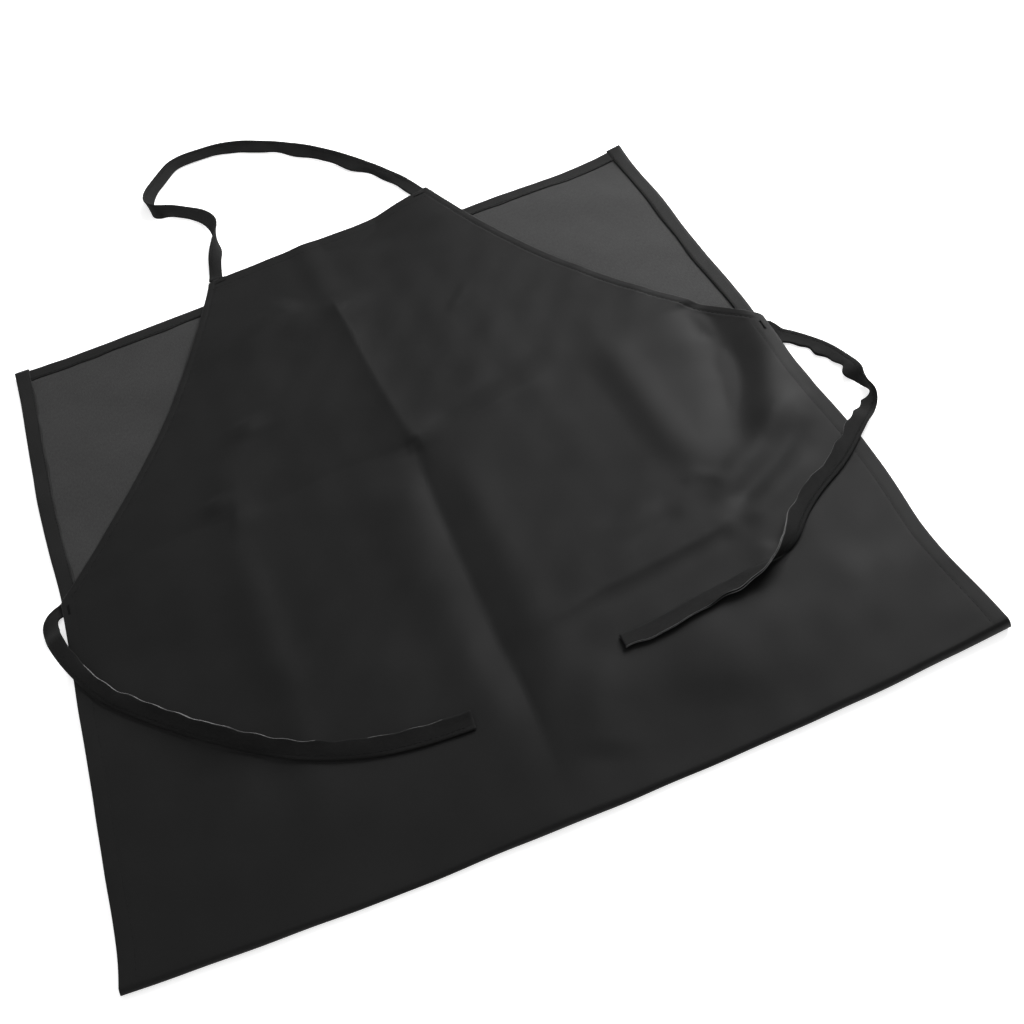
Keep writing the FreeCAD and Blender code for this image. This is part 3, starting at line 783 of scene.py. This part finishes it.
def zigzag(centre, across, along_, width, length, lines):
    """Points of a close zigzag: lines passes over width, stepping along length."""
    points = []
    for index in range(lines + 1):
        side = 0.5 if index % 2 else -0.5
        step = index / lines - 0.5
        points.append(np.asarray(centre) + across * width * side + along_ * length * step)
    return np.array(points)


def make_bartacks():
    """The close zigzag tacks that hold the straps' sewn ends."""
    for side, name in ((-1, "left"), (1, "right")):
        for kind, x, d, along_x, node in (
            ("neck", side * NECK_X, FRONT_LENGTH - 5.0, True, f"neck_{name}_bartack"),
            ("tie", side * (HALF - 5.0), TIE_Y, False, f"{name}_tie_bartack"),
        ):
            run = np.array([1.0, 0, 0]) if along_x else np.array([0, 1.0, 0])
            wide = np.array([0, 1.0, 0]) if along_x else np.array([1.0, 0, 0])
            flat = zigzag((x, d, 0), wide, run, 1.8, 10.0, 22)
            line = front_point(flat[:, 0], flat[:, 1], 0.2)
            stitch_row(f"{kind}_{name}_tack", line, "front", node, *TACK_STITCH)


# ---- straps
# Routes of the straps, in metres; each is the middle line of the flat strip.
NECK_ROUTE = [
    (-0.096, 0.291, 0.003), (-0.092, 0.312, 0.004), (-0.084, 0.338, 0.005),
    (-0.081, 0.371, 0.005), (-0.089, 0.394, 0.005), (-0.108, 0.411, 0.006),
    (-0.131, 0.419, 0.006), (-0.131, 0.444, 0.005), (-0.113, 0.471, 0.005),
    (-0.092, 0.494, 0.005), (-0.048, 0.489, 0.005), (-0.012, 0.468, 0.005), (0.020, 0.437, 0.005),
    (0.050, 0.398, 0.005), (0.076, 0.355, 0.005), (0.092, 0.322, 0.006), (0.099, 0.298, 0.006),
]
LEFT_TIE_ROUTE = [
    (-0.262, -0.012, 0.003), (-0.272, -0.011, 0.003), (-0.2815, -0.020, 0.003),
    (-0.2780, -0.041, 0.005), (-0.2705, -0.064, 0.008), (-0.261, -0.086, 0.010),
    (-0.248, -0.109, 0.010), (-0.223, -0.135, 0.010), (-0.197, -0.162, 0.010),
    (-0.168, -0.188, 0.010), (-0.137, -0.209, 0.009), (-0.103, -0.223, 0.009),
    (-0.070, -0.230, 0.009), (-0.040, -0.232, 0.009),
]
RIGHT_TIE_ROUTE = [
    (0.263, -0.006, 0.003), (0.274, -0.013, 0.003), (0.286, -0.029, 0.004),
    (0.2965, -0.047, 0.006), (0.300, -0.068, 0.007), (0.2985, -0.084, 0.008),
    (0.3015, -0.101, 0.009), (0.2875, -0.117, 0.010), (0.270, -0.132, 0.010),
    (0.248, -0.151, 0.010), (0.221, -0.165, 0.010), (0.202, -0.180, 0.010),
    (0.189, -0.196, 0.010), (0.173, -0.207, 0.010), (0.149, -0.2125, 0.010),
    (0.120, -0.214, 0.010), (0.090, -0.220, 0.010), (0.062, -0.2195, 0.010),
]


def spline_points(name, route):
    """Points along the smooth NURBS line of a route, in millimetres."""
    curve = bpy.data.curves.new(f"{name}_line", "CURVE")
    curve.dimensions = "3D"
    spline = curve.splines.new("NURBS")
    spline.points.add(len(route) - 1)
    for point, place in zip(spline.points, route):
        point.co = (*place, 1)
    spline.order_u = 3
    spline.use_endpoint_u = True
    spline.resolution_u = 16
    carrier = bpy.data.objects.new(f"{name}_line", curve)
    bpy.context.scene.collection.objects.link(carrier)
    bpy.context.view_layer.update()
    mesh = bpy.data.meshes.new_from_object(carrier)
    points = np.array([v.co for v in mesh.vertices]) / MM
    bpy.data.objects.remove(carrier)
    bpy.data.meshes.remove(mesh)
    bpy.data.curves.remove(curve)
    return points


def evenly(points, step):
    """Points a step apart along a line, and how far along it each is."""
    run = np.concatenate([[0], np.cumsum(np.linalg.norm(np.diff(points, axis=0), axis=1))])
    at = np.linspace(0, run[-1], int(run[-1] / step) + 1)
    return np.stack([np.interp(at, run, points[:, k]) for k in range(3)], axis=1), at


def support_height(x, y):
    """Height of whatever lies under a point of the table."""
    d = y - FOLD
    on_front = (np.abs(x) < half_width(d) + 1) & (d > 0) & (d < FRONT_LENGTH + 3)
    on_flap = (np.abs(x) < HALF + 1) & (d > 0) & (d < FLAP_LENGTH + 1)
    front = front_height(np.clip(x, -HALF, HALF), np.clip(d, 0, FRONT_LENGTH))
    return np.where(on_front, front, np.where(on_flap, FLAP_Z + 1.2, 0.0))


def soften(values, reach):
    """The highest value nearby, rounded off, so that a strap bridges a step."""
    padded = np.pad(values, reach, mode="edge")
    high = np.array([padded[i:i + 2 * reach + 1].max() for i in range(len(values))])
    kernel = np.hanning(2 * reach + 1)
    kernel /= kernel.sum()
    return np.convolve(np.pad(high, reach, mode="edge"), kernel, mode="valid")


# A strap is folded lengthwise: a round fold on one side, two open raw lips on the other.
RIBBON = [
    (-1.0, 0.0), (-0.97, 0.6), (-0.88, 1.0), (-0.62, 0.95), (-0.5, 0.8), (-0.38, 0.95),
    (0.0, 1.0), (0.4, 1.0), (0.8, 1.0), (0.97, 1.0), (1.0, 0.75), (0.96, 0.4), (0.6, 0.05),
    (0.6, -0.05), (0.94, -0.4), (0.99, -0.75), (0.95, -1.0), (0.8, -1.0), (0.4, -1.0),
    (0.0, -1.0), (-0.38, -1.0), (-0.62, -1.0), (-0.88, -1.0), (-0.97, -0.6),
]
RAW_STRIPS = {9, 10, 14, 15}
STITCH_POINT = 4
SEWN_DEPTH = 2.2                # a sewn end's middle lies this far beneath the front's face
RING_STEP = 1.5                 # between the rings of a strap
CLEARANCE = 0.25                # between a strap and what it lies on
BRIDGE = 8                      # rings over which a strap bridges a step
EMERGE = 9                      # the length over which it comes out from beneath the cloth
ROLL_BLUR = np.hanning(11) / np.hanning(11).sum()
SEWN_LENGTH = 26.0              # of a sewn end, beneath the cloth


def under_cloth(x, y):
    """Height of a strap where it is sewn beneath the front's hem."""
    d = np.clip(y - FOLD, 0, FRONT_LENGTH)
    return front_height(np.clip(x, -half_width(d), half_width(d)), d) - SEWN_DEPTH


def ribbon_frames(route, name, rolls, tucked):
    """Middle points and width directions of a flat strip.

    rolls is (share of the length, degrees), and tucked the length beneath the cloth at each end.
    """
    points, run = evenly(spline_points(name, route), RING_STEP)
    share = run / run[-1]
    go = np.gradient(points, axis=0)
    go /= np.linalg.norm(go, axis=1, keepdims=True)
    side = np.cross([0, 0, 1.0], go)
    side /= np.linalg.norm(side, axis=1, keepdims=True)
    up = np.cross(go, side)
    keys = np.array(rolls, float)
    roll = np.radians(np.interp(share, keys[:, 0], keys[:, 1]))
    roll = np.convolve(np.pad(roll, len(ROLL_BLUR) // 2, mode="edge"), ROLL_BLUR, mode="valid")
    wide = side * np.cos(roll)[:, None] + up * np.sin(roll)[:, None]
    thin = np.cross(go, wide)
    half = STRAP_WIDE / 2
    need = half * np.abs(wide[:, 2]) + STRAP_THICK / 2 * np.abs(thin[:, 2]) + CLEARANCE
    ends = (run - tucked[0], run[-1] - run - tucked[1])
    hidden = np.max([1 - ease(beyond / EMERGE) for beyond in ends], axis=0)
    x, y = points[:, 0], points[:, 1]
    floor = np.max([support_height(x + wide[:, 0] * half * k, y + wide[:, 1] * half * k)
                    for k in (-1, 0, 1)], axis=0)
    floor = np.where(hidden > 0, 0.0, floor)
    clear = soften(floor + need, BRIDGE)
    points[:, 2] = clear * (1 - hidden) + under_cloth(x, y) * hidden
    return points, wide, thin, run


def ribbon_rings(points, wide, thin, run, seed, raw_side, wavy):
    """Rings of a folded strap: it cups and ripples, and its open side flares here and there."""
    zero = run * 0
    cup = swell(run, zero, seed, 8, 22, 80, 0.45)
    keys = np.array(wavy, float)
    amount = np.interp(run / run[-1], keys[:, 0], keys[:, 1])
    ripple = amount * swell(run, zero, seed + 1, 9, 12, 36, 1.0)
    flare = np.clip(swell(run, zero, seed + 2, 7, 30, 110, 0.9), 0, 1.6)
    rings = []
    for across, height in RIBBON:
        open_side = ease((across - 0.1) / 0.9)
        a = raw_side * (across * STRAP_WIDE / 2 + ripple * open_side)
        b = height * STRAP_THICK / 2 * (1 + flare * open_side) + cup * (0.5 - across ** 2)
        b = b + ripple * 0.35 * open_side
        ring = points + wide * (a * np.ones_like(run))[:, None] + thin * b[:, None]
        ring[:, 2] = np.maximum(ring[:, 2], 0.15 + 0.1 * (height + 1))
        rings.append(ring)
    return np.array(rings)


def strap_uvs(run):
    """Cloth coordinates of a strap's rings."""
    across = np.array([a for a, _ in RIBBON]) * STRAP_WIDE / 2
    return np.stack([np.repeat(across[None, :], len(run), 0),
                     np.repeat(run[:, None], len(across), 1)], -1)


def make_ribbon(name, route, rolls, tucked, seed, raw_side, pale, wavy):
    """A loose strap; pale lists the shares of its length where the raw lips show."""
    points, wide, thin, run = ribbon_frames(route, name, rolls, tucked)
    rings = ribbon_rings(points, wide, thin, run, seed, raw_side, wavy)
    stitches = rings[STITCH_POINT] + thin * 0.1
    if raw_side < 0:
        rings = rings[::-1]
    rings = rings.transpose(1, 0, 2)
    raw = np.array([k in RAW_STRIPS for k in range(len(RIBBON))], dtype=int)
    if raw_side < 0:
        raw = np.concatenate([raw[:-1][::-1], raw[-1:]])
    share = run[:-1] / run[-1]
    shows = sum(((share > low) & (share < high) for low, high in pale), share < 0)
    piece = tube(name, rings, strap_uvs(run), [STRAP, RAW], np.outer(shows, raw).ravel())
    return piece, points, stitches


def strap_stitches(name, seam, body):
    """A strap's single row of small stitches; it stands for no CAD seam."""
    return stitch_row(name, seam, body, None, *STRAP_STITCH)


# Roll of each strip along its length: 0 lies flat, 90 stands on its edge.
NECK_ROLLS = [(0, 0), (0.04, 5), (0.07, 40), (0.10, 84), (0.125, 120), (0.16, 150), (0.22, 160),
              (0.265, 150), (0.29, 108), (0.32, 62), (0.36, 40), (0.42, 38), (0.48, 24), (0.54, 34),
              (0.62, 26), (0.72, 34), (0.82, 26), (0.92, 16), (1, 0)]
LEFT_ROLLS = [(0, 0), (0.03, 4), (0.055, 10), (0.09, 14), (0.14, 18), (0.20, 22), (0.27, 30),
              (0.36, 26), (0.48, 32), (0.60, 36), (0.72, 28), (0.86, 22), (1, 16)]
RIGHT_ROLLS = [(0, 0), (0.14, 3), (0.20, 8), (0.235, 42), (0.258, 98), (0.275, 108), (0.29, 70),
               (0.318, 4), (0.36, -8), (0.46, -14), (0.56, -18), (0.63, -26), (0.68, -64),
               (0.725, -124), (0.77, -163), (0.86, -172), (1, -174)]
# How far the open edge of each strip waves, along its length, in millimetres.
NECK_WAVES = [(0, 1.0), (0.08, 1.4), (0.2, 0.8), (0.3, 0.9), (0.36, 1.7), (1, 1.7)]
LEFT_WAVES = [(0, 0.2), (0.2, 0.4), (0.5, 0.6), (1, 0.4)]
RIGHT_WAVES = [(0, 0.8), (0.06, 1.9), (0.24, 1.9), (0.3, 0.7), (1, 0.6)]


def sewn_end(name, x, d, turn, node):
    """A strap's sewn end, flat between the cloth and what lies under it."""
    at = straight(-SEWN_LENGTH, 1.0, 2.0)
    go = np.array([math.cos(turn), math.sin(turn)])
    side = np.array([-go[1], go[0]])
    rings = []
    for across, height in RIBBON:
        px = x + go[0] * at + side[0] * across * STRAP_WIDE / 2
        py = FOLD + d + go[1] * at + side[1] * across * STRAP_WIDE / 2
        over = front_height(np.clip(px, -HALF, HALF), np.minimum(py - FOLD, FRONT_LENGTH))
        rings.append(np.stack([px, py, over - SEWN_DEPTH + height * STRAP_THICK / 2], -1))
    piece = tube(name, np.array(rings).transpose(1, 0, 2), strap_uvs(at), [STRAP])
    return settle(piece, "front", node)


def make_straps():
    """The neck strap, the two ties, and the ends of both that are sewn down."""
    neck, line, seam = make_ribbon("neck_loop_strap", NECK_ROUTE, NECK_ROLLS, (4, 6), 41, -1, (),
                                   NECK_WAVES)
    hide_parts("neck_strap")
    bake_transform(neck)
    strap_stitches("neck_strap_stitches", seam[12:-12], "neck_loop")
    for name, route, rolls, raw_side, pale, wavy in (
        ("left_tie", LEFT_TIE_ROUTE, LEFT_ROLLS, 1, ((0.22, 0.73), (0.82, 0.95)), LEFT_WAVES),
        ("right_tie", RIGHT_TIE_ROUTE, RIGHT_ROLLS, -1, ((0.33, 1.0),), RIGHT_WAVES),
    ):
        tie, line, seam = make_ribbon(f"{name}_strap", route, rolls, (8, -20), 51 + raw_side,
                                      raw_side, pale, wavy)
        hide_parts(name)
        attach(tie, "front")
        strap_stitches(f"{name}_stitches", seam[3:-2], "front")
    for side, name in ((-1, "left"), (1, "right")):
        sewn_end(f"{name}_tie_sewn_end", side * (HALF - 4), TIE_Y, 0 if side > 0 else math.pi,
                 f"{name}_tie_end")
        sewn_end(f"neck_{name}_sewn_end", side * NECK_X, FRONT_LENGTH - 4, math.pi / 2,
                 f"neck_{name}_end")


# ---- stage, camera and light
def make_stage():
    bpy.ops.mesh.primitive_plane_add(size=300, location=(0, 0, -0.0002))
    floor = bpy.context.active_object
    floor.name = "floor"
    material, _, shader = nodes_of("white_table")
    shader.inputs["Base Color"].default_value = (0.93, 0.93, 0.93, 1)
    shader.inputs["Roughness"].default_value = 0.9
    shader.inputs["Specular IOR Level"].default_value = 0.1
    shader.inputs["Emission Color"].default_value = (1, 1, 1, 1)
    shader.inputs["Emission Strength"].default_value = 0.62
    floor.data.materials.append(material)


CAMERA_AZIMUTH = math.radians(-9.29)
CAMERA_ELEVATION = math.radians(47.51)
CAMERA_ROLL = math.radians(-14.82)
CAMERA_DISTANCE = 0.920
CAMERA_LENS = 47.5
CAMERA_TARGET = Vector((0.0392, FOLD * MM + 0.2253, 0))


def make_camera():
    back = Vector((math.sin(CAMERA_AZIMUTH) * math.cos(CAMERA_ELEVATION),
                   -math.cos(CAMERA_AZIMUTH) * math.cos(CAMERA_ELEVATION),
                   math.sin(CAMERA_ELEVATION)))
    right = (-back).cross(Vector((0, 0, 1))).normalized()
    up = right.cross(-back)
    turned = math.cos(CAMERA_ROLL) * right + math.sin(CAMERA_ROLL) * up
    raised = -math.sin(CAMERA_ROLL) * right + math.cos(CAMERA_ROLL) * up
    data = bpy.data.cameras.new("camera")
    data.lens = CAMERA_LENS
    data.sensor_width = 36.0
    data.clip_start = 0.01
    camera = bpy.data.objects.new("camera", data)
    basis = Matrix((turned, raised, back)).transposed().to_4x4()
    camera.matrix_world = Matrix.Translation(CAMERA_TARGET + back * CAMERA_DISTANCE) @ basis
    bpy.context.scene.collection.objects.link(camera)
    bpy.context.scene.camera = camera


def area_light(name, place, aim, size, energy):
    data = bpy.data.lights.new(name, "AREA")
    data.shape = "RECTANGLE"
    data.size, data.size_y = size
    data.energy = energy
    light = bpy.data.objects.new(name, data)
    light.location = place
    light.rotation_euler = (Vector(aim) - Vector(place)).to_track_quat("-Z", "Y").to_euler()
    bpy.context.scene.collection.objects.link(light)


def make_light():
    area_light("softbox_right", (1.35, 1.0, 1.15), (0, 0, 0), (1.2, 1.2), 68)
    area_light("softbox_top", (-0.1, 0.0, 2.4), (0, 0, 0), (2.4, 2.4), 10)
    area_light("softbox_front", (-0.8, -1.5, 1.2), (0, -0.2, 0), (1.2, 1.2), 6)
    world = bpy.data.worlds.new("studio")
    world.use_nodes = True
    background = world.node_tree.nodes["Background"]
    background.inputs["Color"].default_value = (1, 1, 1, 1)
    background.inputs["Strength"].default_value = 0.22
    bpy.context.scene.world = world
    view = bpy.context.scene.view_settings
    view.view_transform = "Standard"
    view.look = "None"


make_stage()
make_camera()
make_light()
front_cloth = make_front()
flap_cloth = make_flap()
hems = make_hems()
seams = make_seams()
make_bartacks()
make_straps()
